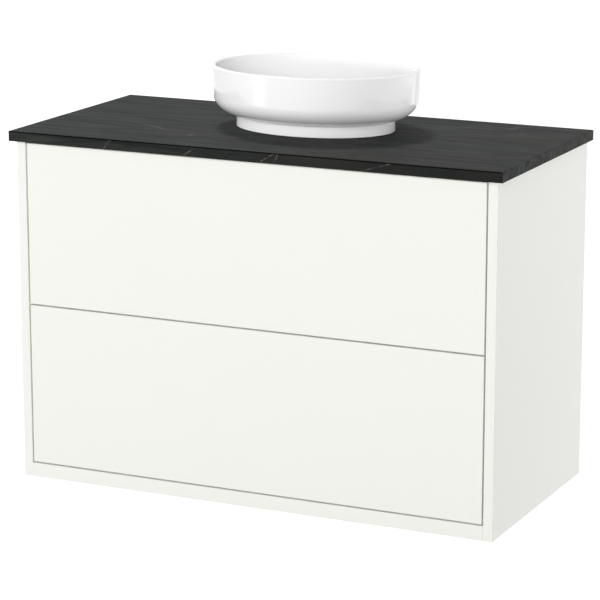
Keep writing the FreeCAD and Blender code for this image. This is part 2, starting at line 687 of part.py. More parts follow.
def make_trap():
    """Bottle trap behind the drawers: inlet pipe, body, cleaning cap, outlet pipe and union nuts."""
    inlet_points = [
        on_waste_axis(NECK_END_Z + PIPE_INSERTION),
        on_waste_axis(RUN_Z),
        on_trap_axis(RUN_Z),
        on_trap_axis(TRAP_BOTTOM_Z + DIP_CLEARANCE),
    ]
    add("trap_inlet_pipe", hollow_pipe(inlet_points, (PIPE_BEND_RADIUS, PIPE_BEND_RADIUS)))
    collar_bore = PIPE_DIAMETER + 2 * RUNNING_GAP
    body = rod(TRAP_BODY_DIAMETER, on_trap_axis(TRAP_BOTTOM_Z), UP, TRAP_BODY_HEIGHT)
    collar = rod(WASTE_NECK_DIAMETER, on_trap_axis(TRAP_TOP_Z), UP, TRAP_COLLAR_HEIGHT)
    to_right = Vec(1, 0, 0)
    nozzle = rod(WASTE_NECK_DIAMETER, on_trap_axis(NOZZLE_Z), to_right, TRAP_NOZZLE_REACH)
    chamber = rod(
        TRAP_BODY_DIAMETER - 2 * TRAP_WALL,
        on_trap_axis(TRAP_BOTTOM_Z - CUT_OVERRUN),
        UP,
        TRAP_BODY_HEIGHT - TRAP_WALL + CUT_OVERRUN,
    )
    collar_hole = rod(collar_bore, on_trap_axis(NOZZLE_Z), UP, TRAP_COLLAR_HEIGHT + TRAP_BODY_HEIGHT)
    nozzle_hole = rod(
        collar_bore, on_trap_axis(NOZZLE_Z), to_right, TRAP_NOZZLE_REACH + CUT_OVERRUN
    )
    shell = body.fuse((collar, nozzle)).cut((chamber, collar_hole, nozzle_hole))
    add("trap_body", shell.removeSplitter())
    make_trap_cap()
    nozzle_end = on_trap_axis(NOZZLE_Z) + to_right * TRAP_NOZZLE_REACH
    bend_corner = nozzle_end + to_right * (NUT_LIP + INLET_DROP + OUTLET_BEND_RADIUS)
    outlet_points = [
        nozzle_end - to_right * PIPE_INSERTION,
        bend_corner,
        Vec(bend_corner.x, 0, bend_corner.z),
    ]
    add("trap_outlet_pipe", hollow_pipe(outlet_points, (OUTLET_BEND_RADIUS,)))
    add(
        "trap_union_nuts",
        slip_nut(on_waste_axis(NECK_END_Z), DOWN),
        slip_nut(on_trap_axis(TRAP_TOP_Z + TRAP_COLLAR_HEIGHT), UP),
        slip_nut(nozzle_end, to_right),
    )


def make_trap_cap():
    """Cup that screws over the bottle's open lower end, with a grip bar underneath."""
    inside = TRAP_BODY_DIAMETER + 2 * HOLE_FIT
    outside = inside + 2 * CAP_WALL
    floor_z = TRAP_BOTTOM_Z - CAP_WALL
    cup = rod(outside, on_trap_axis(floor_z), UP, CAP_HEIGHT)
    hollow = rod(inside, on_trap_axis(TRAP_BOTTOM_Z), UP, CAP_HEIGHT)
    half = CAP_GRIP_WIDTH / 2
    reach = inside / 2
    grip = box(
        (BASIN_X - reach, BASIN_X + reach),
        (TRAP_Y - half, TRAP_Y + half),
        (floor_z - CAP_GRIP_DEPTH, floor_z),
    )
    round_column = rod(outside, on_trap_axis(floor_z - CAP_GRIP_DEPTH), UP, CAP_GRIP_DEPTH)
    add("trap_cleaning_cap", cup.cut(hollow).fuse(grip.common(round_column)).removeSplitter())


def sheet_profile(side, corners):
    """Flat outline across a runner: corners are (distance from the side panel, height) pairs."""
    points = [Vec(side * (INNER_HALF - u), 0, v) for u, v in corners]
    return Part.Face(Part.makePolygon([*points, points[0]]))


def lipped_channel(depth_start, depth_end, half_height, lip):
    """Outline of a channel with turned-in lips, open towards the drawer."""
    s = RUNNER_SHEET
    upper = [
        (depth_start, half_height),
        (depth_end, half_height),
        (depth_end, half_height - lip),
        (depth_end - s, half_height - lip),
        (depth_end - s, half_height - s),
        (depth_start + s, half_height - s),
    ]
    return upper + [(u, -v) for u, v in reversed(upper)]


def runner_outlines():
    """Outlines of the three nested runner members, from the side panel to the drawer."""
    s, gap = RUNNER_SHEET, RUNNING_GAP
    outer_half = RUNNER_HEIGHT / 2
    outer_depth = RUNNER_SPACE - gap
    outer = lipped_channel(0, outer_depth, outer_half, RUNNER_LIP)
    middle_half = outer_half - s - gap
    middle_start = s + gap
    middle_depth = outer_depth - s - gap
    middle_lip = RUNNER_LIP + RUNNER_LIP / 2
    middle = lipped_channel(middle_start, middle_depth, middle_half, middle_lip)
    inner_flange = middle_half - s - gap
    inner_back = middle_depth - s - gap
    neck = middle_half - middle_lip - gap
    upper = [
        (RUNNER_SPACE, neck),
        (inner_back, neck),
        (inner_back, inner_flange),
        (inner_back - s, inner_flange),
        (inner_back - s, neck - s),
        (RUNNER_SPACE - s, neck - s),
    ]
    inner = upper + [(u, -v) for u, v in reversed(upper)]
    return {"outer": outer, "middle": middle, "inner": inner}


def make_runners():
    """Three-part telescopic runner at each side of each drawer."""
    length = DRAWER_REAR_Y - FRONT_BACK_Y - RUNNER_SETBACK
    for drawer, (front_z, side_height) in DRAWERS.items():
        middle_z = front_z + DRAWER_SIDE_RAISE + RUNNER_RAISE
        for word, side in SIDES.items():
            for member, corners in runner_outlines().items():
                face = sheet_profile(side, corners)
                face.translate(Vec(0, FRONT_BACK_Y + RUNNER_SETBACK, middle_z))
                add(f"{drawer}_{word}_runner_{member}", face.extrude(TO_WALL * length))


def runner_screw_places():
    """Depths at which each runner member is screwed on, near its two ends."""
    return (FRONT_BACK_Y + RUNNER_SETBACK + RUNNER_SCREW_INSET, DRAWER_REAR_Y - RUNNER_SCREW_INSET)


def make_runner_screws():
    """Flush screws that hold the outer runner members to the side panels."""
    screws = []
    for drawer, (front_z, side_height) in DRAWERS.items():
        middle_z = front_z + DRAWER_SIDE_RAISE + RUNNER_RAISE
        for word, side in SIDES.items():
            outward = Vec(side, 0, 0)
            for y in runner_screw_places():
                seat = Vec(side * INNER_HALF, y, middle_z)
                screws.append(screw(seat, outward, SCREW_BITE, RUNNER_SHEET))
                hole = screw_hole(seat, outward, SCREW_BITE, RUNNER_SHEET)
                drill([f"{drawer}_{word}_runner_outer", f"{word}_side_panel"], [hole])
    add("runner_screws", *screws)


def make_drawer(drawer, front_z, side_height):
    """Drawer box with a grooved-in bottom, behind a plain flush front."""
    front = box((-FRONT_HALF, FRONT_HALF), (FRONT_Y, FRONT_BACK_Y), (front_z, front_z + FRONT_HEIGHT))
    add(f"{drawer}_drawer_front", rounded_front(front, FRONT_Y))
    depth = (FRONT_BACK_Y, DRAWER_REAR_Y)
    low = front_z + DRAWER_SIDE_RAISE
    high = low + side_height
    groove_low = low + DRAWER_GROOVE_RAISE
    groove_high = groove_low + DRAWER_BOTTOM_THICKNESS
    groove_half = DRAWER_INNER_HALF + DRAWER_GROOVE_DEPTH
    for word, side in SIDES.items():
        board = box((side * DRAWER_INNER_HALF, side * DRAWER_HALF), depth, (low, high))
        groove = box(
            (side * (DRAWER_INNER_HALF - CUT_OVERRUN), side * groove_half),
            (FRONT_BACK_Y - CUT_OVERRUN, DRAWER_REAR_Y + CUT_OVERRUN),
            (groove_low, groove_high),
        )
        add(f"{drawer}_drawer_{word}_side", board.cut(groove))
    bottom_half = groove_half - CONTACT_GAP
    add(
        f"{drawer}_drawer_bottom",
        box((-bottom_half, bottom_half), depth, (groove_low, groove_high)),
    )
    add(
        f"{drawer}_drawer_back",
        box(
            (-DRAWER_INNER_HALF, DRAWER_INNER_HALF),
            (DRAWER_REAR_Y - DRAWER_BACK_THICKNESS, DRAWER_REAR_Y),
            (groove_high, high),
        ),
    )


def make_drawer_fittings(drawer, front_z, side_height):
    """Steel angles that hold the front, and every screw of the drawer."""
    angles, screws = [], []
    low = front_z + DRAWER_SIDE_RAISE
    floor = low + DRAWER_GROOVE_RAISE + DRAWER_BOTTOM_THICKNESS
    first = floor + DRAWER_ANGLE_MARGIN
    last = low + side_height - DRAWER_ANGLE_MARGIN - DRAWER_ANGLE_HEIGHT
    thick = DRAWER_ANGLE_THICKNESS
    front_name = f"{drawer}_drawer_front"
    for word, side in SIDES.items():
        side_name = f"{drawer}_drawer_{word}_side"
        for angle_z in (first, last):
            heights = (angle_z, angle_z + DRAWER_ANGLE_HEIGHT)
            middle_z = angle_z + DRAWER_ANGLE_HEIGHT / 2
            near = side * DRAWER_INNER_HALF
            side_leg = box(
                (near, near - side * thick), (FRONT_BACK_Y, FRONT_BACK_Y + DRAWER_ANGLE_LEG), heights
            )
            front_leg = box(
                (near, near - side * DRAWER_ANGLE_LEG), (FRONT_BACK_Y, FRONT_BACK_Y + thick), heights
            )
            leg_middle = (thick + DRAWER_ANGLE_LEG) / 2
            side_seat = Vec(near - side * thick, FRONT_BACK_Y + leg_middle, middle_z)
            front_seat = Vec(near - side * leg_middle, FRONT_BACK_Y + thick, middle_z)
            angle = side_leg.fuse(front_leg).removeSplitter()
            outward = Vec(side, 0, 0)
            side_bite = thick + DRAWER_SIDE_THICKNESS * SIDE_SEAT_SHARE
            front_bite = thick + FRONT_THICKNESS * SIDE_SEAT_SHARE
            screws.append(screw(side_seat, outward, side_bite))
            screws.append(screw(front_seat, TO_ROOM, front_bite))
            side_hole = screw_hole(side_seat, outward, side_bite)
            front_hole = screw_hole(front_seat, TO_ROOM, front_bite)
            angles.append(angle.cut((side_hole, front_hole)))
            drill([side_name], [side_hole])
            drill([front_name], [front_hole])
        screws.extend(drawer_runner_screws(drawer, word, side, low + RUNNER_RAISE))
        screws.extend(drawer_back_screws(drawer, word, side, floor, low + side_height))
    add(f"{drawer}_drawer_angles", *angles)
    add(f"{drawer}_drawer_screws", *screws)


def drawer_runner_screws(drawer, word, side, z):
    """Flush screws from the inner runner member into the drawer side."""
    screws = []
    inward = Vec(-side, 0, 0)
    bite = DRAWER_SIDE_THICKNESS * SIDE_SEAT_SHARE
    for y in runner_screw_places():
        seat = Vec(side * DRAWER_HALF, y, z)
        screws.append(screw(seat, inward, bite, RUNNER_SHEET))
        hole = screw_hole(seat, inward, bite, RUNNER_SHEET)
        drill([f"{drawer}_{word}_runner_inner", f"{drawer}_drawer_{word}_side"], [hole])
    return screws


def drawer_back_screws(drawer, word, side, low, high):
    """Sunk screws through the drawer side into the back's end grain."""
    screws = []
    inward = Vec(-side, 0, 0)
    y = DRAWER_REAR_Y - DRAWER_BACK_THICKNESS / 2
    for share in BACK_SCREW_SHARES:
        seat = Vec(side * (DRAWER_HALF - SCREW_HEAD_HEIGHT), y, low + (high - low) * share)
        bite = DRAWER_SIDE_THICKNESS - SCREW_HEAD_HEIGHT + SCREW_BITE
        screws.append(screw(seat, inward, bite))
        hole = screw_hole(seat, inward, bite, SCREW_HEAD_HEIGHT)
        drill([f"{drawer}_drawer_{word}_side", f"{drawer}_drawer_back"], [hole])
    return screws


def make_latches():
    """Push latch at each side of each drawer: a housing on the side panel and a sprung plunger."""
    housings = []
    for drawer, (front_z, side_height) in DRAWERS.items():
        z = front_z + DRAWER_SIDE_RAISE + LATCH_RAISE
        for word, side in SIDES.items():
            start_y = FRONT_BACK_Y + LATCH_SETBACK
            x = side * (INNER_HALF - LATCH_WIDTH / 2)
            housing = box(
                (side * INNER_HALF, side * (INNER_HALF - LATCH_WIDTH)),
                (start_y, start_y + LATCH_LENGTH),
                (z - LATCH_HEIGHT / 2, z + LATCH_HEIGHT / 2),
            )
            tip = Vec(x, FRONT_BACK_Y + CONTACT_GAP, z)
            bore_depth = PLUNGER_LENGTH + 2 * PLUNGER_STROKE
            bore = rod(PLUNGER_DIAMETER + 2 * RUNNING_GAP, tip, TO_WALL, bore_depth)
            housings.append(housing.cut(bore))
            stem = rod(PLUNGER_DIAMETER, tip, TO_WALL, PLUNGER_LENGTH)
            ring_start = tip + TO_WALL * PLUNGER_TIP_LENGTH
            waist = tube(
                PLUNGER_DIAMETER + CUT_OVERRUN,
                PLUNGER_DIAMETER - 2 * RUNNING_GAP,
                ring_start,
                TO_WALL,
                RUNNING_GAP,
            )
            add(f"{drawer}_{word}_latch_plunger", stem.cut(waist))
    add("latch_housings", *housings)


def main():
    """Builds every piece and writes one STEP file for each node."""
    make_carcass()
    make_carcass_joints()
    make_wall_brackets()
    make_countertop()
    make_basin()
    make_waste()
    make_plug()
    make_trap()
    make_runners()
    make_runner_screws()
    for drawer, (front_z, side_height) in DRAWERS.items():
        make_drawer(drawer, front_z, side_height)
        make_drawer_fittings(drawer, front_z, side_height)
    make_latches()
    os.makedirs("parts", exist_ok=True)
    for name, shape in pieces.items():
        solids = shape.Solids
        if not solids or not shape.isValid():
            raise RuntimeError(f"{name} is not a valid solid")
        whole = solids[0] if len(solids) == 1 else Part.makeCompound(solids)
        whole.exportStep(os.path.join("parts", f"{name}.step"))
    print(len(pieces), "nodes,", sum(len(s.Solids) for s in pieces.values()), "solids")


main()
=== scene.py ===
"""Looks of a wall-hung vanity unit: white cabinet, dark marble-effect countertop and oval basin.

Lengths are metres in the part's own frame: +X right, +Y towards the wall, +Z up.
"""

import json
import math

import bmesh
import bpy
import numpy as np
from bpy.props import FloatProperty, FloatVectorProperty, PointerProperty
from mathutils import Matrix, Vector


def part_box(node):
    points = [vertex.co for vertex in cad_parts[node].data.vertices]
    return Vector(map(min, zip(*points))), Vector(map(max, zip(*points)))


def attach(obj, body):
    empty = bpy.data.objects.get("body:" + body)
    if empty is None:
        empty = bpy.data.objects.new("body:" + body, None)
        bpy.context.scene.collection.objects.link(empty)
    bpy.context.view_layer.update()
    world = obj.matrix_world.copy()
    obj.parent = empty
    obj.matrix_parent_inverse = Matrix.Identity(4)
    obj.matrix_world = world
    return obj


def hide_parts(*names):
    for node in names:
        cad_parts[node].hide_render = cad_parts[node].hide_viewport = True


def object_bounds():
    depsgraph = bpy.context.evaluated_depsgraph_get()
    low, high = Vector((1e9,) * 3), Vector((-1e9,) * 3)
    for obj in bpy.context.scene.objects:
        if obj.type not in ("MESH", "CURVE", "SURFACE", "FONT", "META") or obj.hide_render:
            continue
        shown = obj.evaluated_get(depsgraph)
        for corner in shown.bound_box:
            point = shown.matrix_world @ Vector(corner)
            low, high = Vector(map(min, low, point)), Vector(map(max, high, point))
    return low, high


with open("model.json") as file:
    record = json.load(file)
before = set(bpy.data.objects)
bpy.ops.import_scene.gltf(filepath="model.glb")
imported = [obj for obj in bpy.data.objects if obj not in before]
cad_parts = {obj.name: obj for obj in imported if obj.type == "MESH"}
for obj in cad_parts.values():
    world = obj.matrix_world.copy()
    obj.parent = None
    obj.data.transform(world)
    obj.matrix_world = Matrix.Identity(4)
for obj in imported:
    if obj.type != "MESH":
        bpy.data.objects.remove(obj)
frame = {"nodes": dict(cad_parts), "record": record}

bl_info = {
    "name": "Vanity unit",
    "version": (1, 0, 0),
    "blender": (4, 5, 0),
    "location": "3D View > Sidebar > Vanity",
    "description": "Dresses a wall-hung vanity unit: cabinet, drawers, countertop, basin and waste",
    "category": "Object",
}

CAD_BOX = [list(corner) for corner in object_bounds()]
DRAWERS = ("upper", "lower")
HANDS = ("left", "right")
MILLIMETRE = 0.001

# Surfaces: points round the basin and the plug and along their curves, merging, and sharp edges
BASIN_STEPS = 192
PLUG_STEPS = 96
DOME_STEPS = 20
CORNER_STEPS = 8
TURN_STEPS = 22
MERGE_DISTANCE = 1e-6
SHARP_ANGLE = math.radians(40.0)

# Finishes: where most values of a noise lie, how far a face looks to the wall, to the front and up before
# it counts as such, and the places along Y between which a board turns raw
NOISE_MIDDLE = (0.3, 0.7)
WALL_FACING = (0.9, 0.95)
FRONT_FACING = (-0.6, -0.3)
UP_FACING = (0.2, 0.4)
RAW_DEPTH = (-0.004, -0.002)

# Countertop: where painted shade darkens its front edge along X, and the depths under its top where a
# painted shadow line darkens the front edge
FRONT_SHADE_REACH = (-0.5, 0.5)
ARRIS_SHADOW_DEPTHS = (3.2 * MILLIMETRE, 1.8 * MILLIMETRE)

# Veins across the front edge: place along X at mid-height and lean for each metre of height, then the
# reach of their waves, their half width and how far they fade beside it
FRONT_VEINS = ((-0.290, 0.9), (-0.113, 1.5), (0.048, 1.7), (0.066, 0.4), (0.270, 3.2))
VEIN_WAVE = 0.008
VEIN_CORE = 0.0004
VEIN_FADE = 0.0011

# Lamps: azimuth from the front to the right and elevation in degrees, then width and height
LAMP_DISTANCE = 7.0
LAMPS = {
    "key": ((-60.0, 5.0), (4.4, 0.7)),
    "fill": ((19.0, 10.0), (4.4, 1.8)),
    "high_fill": ((8.0, 28.0), (4.4, 1.4)),
    "top": ((-135.0, 64.0), (1.2, 1.2)),
    "right": ((128.0, -0.5), (4.4, 1.1)),
    "left_back": ((-125.0, 12.0), (4.4, 2.2)),
}
STRIP_DISTANCE = 3.5
STRIPS = {
    "left_strip": ((-45.0, -4.0), (0.8, 1.3)),
    "right_strip": ((150.0, -4.0), (0.6, 1.3)),
}

# Floor and camera
FLOOR_REACH = 30.0
FLOOR_TONE = 0.25
FLOOR_ROUGHNESS = 0.9
FLOOR_GLOW = 0.92
CAMERA_REACH = 100.0


def shade(red, green, blue):
    """Linear colour of a display colour given in 8-bit steps."""
    share = np.array((red, green, blue)) / 255.0
    linear = np.where(share <= 0.04045, share / 12.92, ((share + 0.055) / 1.055) ** 2.4)
    return tuple(float(value) for value in linear)


def colour_property(name, description, default):
    """Colour that a user can change."""
    return FloatVectorProperty(
        name=name, description=description, subtype="COLOR", size=3, min=0.0, max=1.0, default=default
    )


def length_property(name, description, millimetres):
    """Length that a user can change, given here in millimetres."""
    return FloatProperty(
        name=name, description=description, unit="LENGTH", min=0.0, default=millimetres * MILLIMETRE
    )


def angle_property(name, description, degrees):
    """Angle that a user can change, given here in degrees."""
    return FloatProperty(
        name=name, description=description, subtype="ANGLE", default=math.radians(degrees)
    )


def power_property(name, description, watts):
    """Power of a lamp that a user can change."""
    return FloatProperty(name=name, description=description, unit="POWER", default=watts)


class VanityFinishes(bpy.types.PropertyGroup):
    """Colours of the unit's finishes."""

    foil: colour_property("Foil", "White foil of the cabinet and the fronts", shade(245, 246, 240))
    melamine: colour_property("Melamine", "Pale facing of the drawer boxes", shade(232, 232, 228))
    chipboard: colour_property("Chipboard", "Raw board of the edges at the wall", shade(190, 160, 120))
    # The countertop's faces get lit and shaded copies of one laminate: painted sheen lightens the top and
    # most of all the ends, and painted shade darkens the front edge
    laminate: colour_property("Laminate", "Ground of the countertop's upper face", shade(66, 68, 67))
    laminate_deep: colour_property("Deep laminate", "Darkest streaks of top and ends", shade(54, 56, 55))
    # Deep edge: the darkest streaks of the front edge, and also the painted shade at the edge's right end
    edge_deep_and_shade: colour_property("Deep edge", "Darkest streaks of the front edge", shade(37, 39, 38))
    # Front band: the front edge's ground at its left end, where its painted shade is lightest
    front_band_lit_end: colour_property("Front band", "Lightest ground of the front edge", shade(62, 64, 62))
    end_band_painted_sheen: colour_property("End band", "Ground of the countertop's ends", shade(79, 81, 80))
    laminate_brown: colour_property("Brown cloud", "Faint clouds in the laminate", shade(70, 65, 60))
    vein: colour_property("Vein", "Thin veins in the laminate", shade(120, 113, 101))
    glaze: colour_property("Glaze", "Glaze of the basin", shade(252, 252, 252))
    zinc: colour_property("Zinc", "Zinc plating on the steel fittings", shade(205, 208, 210))
    zinc_dull: colour_property("Dull zinc", "Dull patches in the zinc plating", shade(186, 189, 192))
    chrome: colour_property("Chrome", "Plating of the waste and its plug", shade(204, 207, 210))
    pipe: colour_property("Pipe", "White plastic of the trap", shade(236, 236, 233))
    latch: colour_property("Latch", "Grey plastic of the push latches", shade(128, 130, 132))
    rubber: colour_property("Rubber", "Black seals of the waste", shade(32, 32, 32))
    sealant: colour_property("Sealant", "Bead under the basin's foot", shade(240, 240, 238))
    beech: colour_property("Beech", "Dowels of the carcass", shade(206, 172, 128))


class VanityBasinSizes(bpy.types.PropertyGroup):
    """Sizes of the basin's section, from its foot to its rim and down to the waste."""

    rim_width: length_property("Rim width", "Width of the rim", 9.0)
    rim_round: length_property("Rim round", "Radius of the rim's edges", 4.0)
    wall_taper: length_property("Wall taper", "How far the wall draws in going down", 3.0)
    wall_foot: length_property("Wall foot", "Height at which the outer wall turns under", 62.0)
    foot_inset: length_property("Foot inset", "How far the foot stands in from the rim", 49.0)
    foot_height: length_property("Foot height", "Height of the foot", 21.0)
    foot_flare: length_property("Foot flare", "How far the foot spreads at its base", 1.0)
    foot_wall: length_property("Foot wall", "Width of the foot's bearing ring", 14.0)
    floor_height: length_property("Floor height", "Height of the floor at the waste", 18.0)
    floor_thickness: length_property("Floor thickness", "Thickness of the floor at the waste", 10.0)
    floor_rise: length_property("Floor rise", "Rise of the floor towards the wall", 9.0)
    floor_inset: length_property("Floor inset", "Where the floor turns up into the wall", 74.0)
    inner_foot: length_property("Inner foot", "Height at which the inner wall turns in", 66.0)
    seat_radius: length_property("Seat radius", "Radius of the waste's seat", 33.5)
    seat_depth: length_property("Seat depth", "Depth of the waste's seat", 2.5)
    hole_radius: length_property("Hole radius", "Radius of the waste hole", 23.0)
    turn_start: angle_property("Turn start", "Slope at which the underside leaves the foot", 24.0)


class VanityStage(bpy.types.PropertyGroup):
    """Floor, light and camera."""

    floor_drop: length_property("Floor drop", "Height of the unit's underside above the floor", 250.0)
    ambient: FloatProperty(name="Ambient", description="Strength of the even light", default=0.21)
    key_power: power_property("Key", "Low light at the left", 156.0)
    fill_power: power_property("Fill", "Light at the front", 187.0)
    high_fill_power: power_property("High fill", "Light at the front that reaches into the bowl", 129.0)
    top_power: power_property("Top", "Light from above behind the left", 255.0)
    right_power: power_property("Right", "Low light behind the right", 276.0)
    left_back_power: power_property("Left back", "Light behind the left", 100.0)
    left_strip_power: power_property("Left strip", "Strip that the glaze mirrors at the left", 4.6)
    right_strip_power: power_property("Right strip", "Strip that the glaze mirrors at the right", 2.5)
    camera_place: FloatVectorProperty(
        name="Camera",
        description="Place of the camera",
        subtype="TRANSLATION",
        default=(2.181, -4.909, 0.960),
    )
    camera_yaw: angle_property("Yaw", "Turn of the camera to the left", 25.09)
    camera_pitch: angle_property("Pitch", "Tilt of the camera down", 13.43)
    camera_lens: FloatProperty(
        name="Lens", description="Focal length on a 36 mm sensor", unit="CAMERA", default=161.8
    )


class Finish:
    """One material being made: adds nodes to it, sets their sockets and links them."""

    def __init__(self, name):
        self.material = bpy.data.materials.new(name)
        self.material.use_nodes = True
        self.tree = self.material.node_tree
        self.tree.nodes.clear()
        self.shader = self.add("ShaderNodeBsdfPrincipled")
        output = self.add("ShaderNodeOutputMaterial")
        self.tree.links.new(self.shader.outputs["BSDF"], output.inputs["Surface"])
        self.place = self.add("ShaderNodeTexCoord").outputs["Object"]

    def put(self, socket, value):
        """Links a socket to another, or sets its value."""
        if isinstance(value, bpy.types.NodeSocket):
            self.tree.links.new(value, socket)
        elif socket.type == "RGBA" and len(value) == 3:
            socket.default_value = (*value, 1.0)
        else:
            socket.default_value = value

    def add(self, kind, **sockets):
        """New node of a kind, with sockets set by name."""
        made = self.tree.nodes.new(kind)
        for name, value in sockets.items():
            self.put(made.inputs[name.replace("_", " ")], value)
        return made

    def surface(self, **sockets):
        """Sets the shader's own sockets."""
        for name, value in sockets.items():
            self.put(self.shader.inputs[name.replace("_", " ")], value)

    def stretched(self, scale, vector=None):
        """Coordinates, the object's own if none are given, stretched by a scale along each axis."""
        return self.add("ShaderNodeMapping", Vector=vector or self.place, Scale=scale).outputs["Vector"]

    def noise(self, scale, detail=4.0, roughness=0.5, distortion=0.0, vector=None):
        """Noise value over the object."""
        made = self.add(
            "ShaderNodeTexNoise",
            Vector=vector or self.place,
            Scale=scale,
            Detail=detail,
            Roughness=roughness,
            Distortion=distortion,
        )
        return made.outputs["Fac"]

    def mix(self, share, first, second):
        """Colour between two others; sockets 6 and 7 and output 2 of the node are those for colours."""
        made = self.add("ShaderNodeMix")
        made.data_type = "RGBA"
        for index, value in ((0, share), (6, first), (7, second)):
            self.put(made.inputs[index], value)
        return made.outputs[2]

    def math(self, operation, first, second):
        """Sum, product or other operation on two values."""
        made = self.add("ShaderNodeMath")
        made.operation = operation
        self.put(made.inputs[0], first)
        self.put(made.inputs[1], second)
        return made.outputs[0]

    def apart(self, first, second):
        """How far two values lie apart."""
        return self.math("ABSOLUTE", self.math("SUBTRACT", first, second), 0.0)

    def spread(self, value, between, onto=(0.0, 1.0)):
        """Value carried smoothly from one range to another."""
        made = self.add("ShaderNodeMapRange")
        made.interpolation_type = "SMOOTHSTEP"
        for index, number in enumerate((value, *between, *onto)):
            self.put(made.inputs[index], number)
        return made.outputs[0]

    def bump(self, height, strength, distance):
        """Normal from a height."""
        made = self.add("ShaderNodeBump", Height=height, Strength=strength, Distance=distance)
        self.surface(Normal=made.outputs["Normal"])

    def along(self, axis):
        """Place along an axis of the frame."""
        return self.add("ShaderNodeSeparateXYZ", Vector=self.place).outputs[axis]

    def facing(self, axis):
        """How far the surface faces along an axis of the frame, from -1 to 1."""
        normal = self.add("ShaderNodeNewGeometry").outputs["Normal"]
        return self.add("ShaderNodeSeparateXYZ", Vector=normal).outputs[axis]


def toned(colour, factor):
    """Colour made darker or lighter by a factor."""
    return tuple(factor * value for value in colour)


def foil_finish(name, finishes, raw_edges):
    """Satin white foil: faint clouding and a fine pressed texture; wall-side edges can be raw board."""
    finish = Finish(name)
    clouding = finish.noise(5.0, detail=3.0)
    tone = finish.mix(clouding, finishes.foil, toned(finishes.foil, 0.99))
    if raw_edges:
        crumbs = finish.spread(finish.noise(420.0, detail=6.0, roughness=0.7), (0.35, 0.65))
        board = finish.mix(crumbs, finishes.chipboard, toned(finishes.chipboard, 1.25))
        to_wall = finish.spread(finish.facing("Y"), WALL_FACING)
        at_wall = finish.spread(finish.along("Y"), RAW_DEPTH)
        tone = finish.mix(finish.math("MULTIPLY", to_wall, at_wall), tone, board)
    finish.surface(Base_Color=tone, IOR=1.46)
    finish.surface(Roughness=finish.spread(finish.noise(60.0, detail=3.0), NOISE_MIDDLE, (0.42, 0.5)))
    finish.bump(finish.noise(1400.0, detail=2.0), strength=0.04, distance=0.0004)
    return finish.material


def melamine_finish(finishes):
    """Pale board facing with a dull paper-like fleck."""
    finish = Finish("drawer_board")
    fleck = finish.spread(finish.noise(500.0, roughness=0.6), NOISE_MIDDLE)
    finish.surface(Base_Color=finish.mix(fleck, finishes.melamine, toned(finishes.melamine, 0.94)))
    finish.surface(Roughness=finish.spread(finish.noise(90.0), NOISE_MIDDLE, (0.46, 0.58)))
    finish.bump(finish.noise(900.0, detail=3.0), strength=0.08, distance=0.0004)
    return finish.material


def top_vein_lines(finish, place, scale, turn, width, breaks):
    """Thin lines where a smooth stretched noise passes its middle value, broken by a coarser noise."""
    mapping = finish.add("ShaderNodeMapping", Vector=finish.place, Location=place, Rotation=turn)
    turned = mapping.outputs["Vector"]
    stretched = finish.stretched(scale, turned)
    field = finish.noise(1.0, detail=2.5, roughness=0.45, distortion=0.25, vector=stretched)
    line = finish.spread(finish.apart(field, 0.5), (0.0, width), (1.0, 0.0))
    broken = finish.spread(finish.noise(breaks, detail=1.0, vector=turned), (0.52, 0.64))
    return finish.math("MULTIPLY", line, broken)


def front_vein_lines(finish):
    """Thin lines across the front edge: each leans with the height, a little wavy and broken."""
    low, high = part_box("countertop")
    wave = finish.math("MULTIPLY", finish.noise(220.0, detail=3.0), VEIN_WAVE)
    along = finish.math("ADD", finish.along("X"), wave)
    rise = finish.math("SUBTRACT", finish.along("Z"), (low.z + high.z) / 2)
    lines = 0.0
    for middle, lean in FRONT_VEINS:
        upright = finish.math("SUBTRACT", along, finish.math("MULTIPLY", rise, lean))
        faded = VEIN_CORE + VEIN_FADE * max(1.0, abs(lean))
        line = finish.spread(finish.apart(upright, middle), (VEIN_CORE, faded), (1.0, 0.0))
        lines = finish.math("MAXIMUM", lines, line)
    broken = finish.spread(finish.noise(140.0, detail=2.0), (0.4, 0.62), (0.1, 0.85))
    return finish.math("MULTIPLY", lines, broken)


